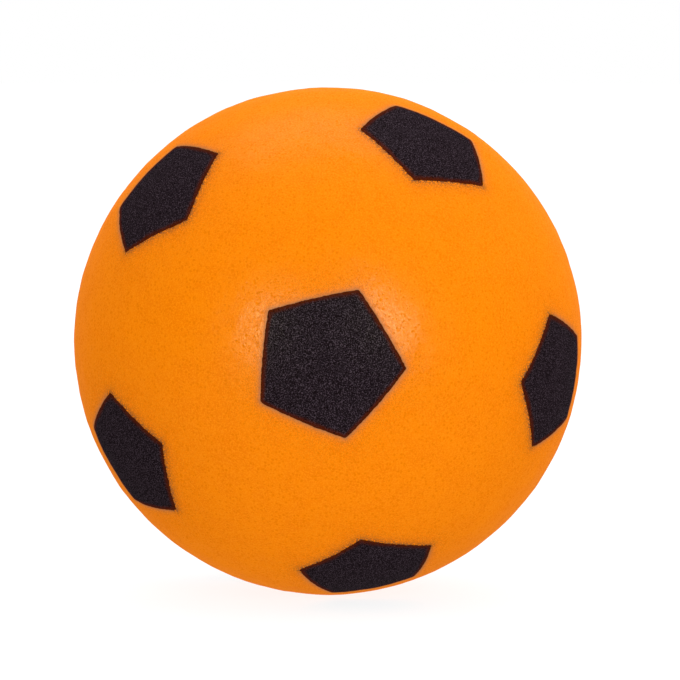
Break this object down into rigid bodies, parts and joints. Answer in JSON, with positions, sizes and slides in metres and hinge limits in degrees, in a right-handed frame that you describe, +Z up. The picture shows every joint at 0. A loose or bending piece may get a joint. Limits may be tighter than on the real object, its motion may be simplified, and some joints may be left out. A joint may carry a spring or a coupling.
{
  "type": "soft soccer ball",
  "caption": "Soft play ball of solid orange foam with black pentagons painted on in a soccer-ball pattern, and a small flat where it rests.",
  "frame": {"origin": "middle of the small flat that the ball rests on", "axes": "+Z up, from the flat through the ball's middle; -Y towards the front half's pole pentagon"},
  "size_m": [0.2, 0.2, 0.1992],
  "materials": {
    "foam": "matt fine-celled orange foam, with a faint waxy sheen",
    "paint": "matt black flexible paint soaked into the foam's cells"
  },
  "bodies": {
    "root": {"foam_ball": "foam", "pentagon_front_pole": "paint", "pentagon_front_ring_1": "paint", "pentagon_front_ring_2": "paint", "pentagon_front_ring_3": "paint", "pentagon_front_ring_4": "paint", "pentagon_front_ring_5": "paint", "pentagon_back_pole": "paint", "pentagon_back_ring_1": "paint", "pentagon_back_ring_2": "paint", "pentagon_back_ring_3": "paint", "pentagon_back_ring_4": "paint", "pentagon_back_ring_5": "paint"}
  },
  "joints": []
}
